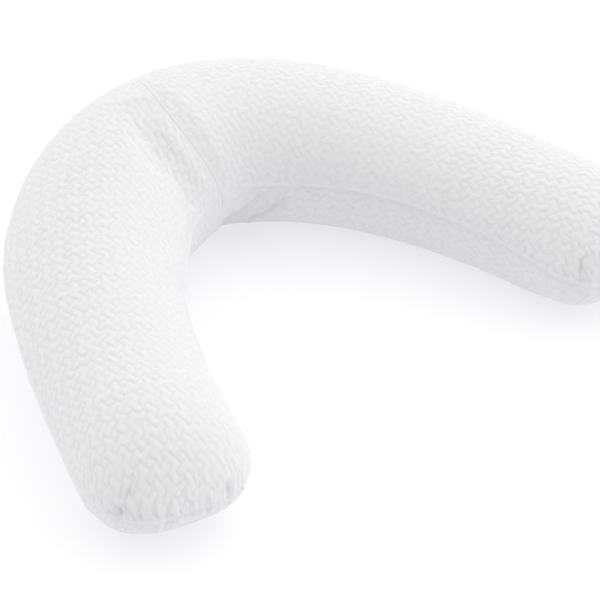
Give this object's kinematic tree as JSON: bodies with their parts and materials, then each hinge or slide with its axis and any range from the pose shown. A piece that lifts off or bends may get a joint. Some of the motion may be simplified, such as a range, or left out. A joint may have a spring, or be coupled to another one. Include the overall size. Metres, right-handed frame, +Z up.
{
  "type": "boomerang pillow",
  "caption": "Plump boomerang-shaped pillow: a filled tube of white herringbone knit, bent at a cross seam, with a long side seam and gathered ends, lying flat on its base.",
  "frame": {"origin": "under the middle of the pillow's box, on the surface that it lies on", "axes": "+Z up; +X across the two arms, from the left arm to the right; +Y towards the outside of the bend"},
  "size_m": [0.852, 0.66, 0.1979],
  "materials": {
    "white_knit": "matte white knit with a raised herringbone"
  },
  "bodies": {
    "root": {"pillow": "white_knit"}
  },
  "joints": []
}
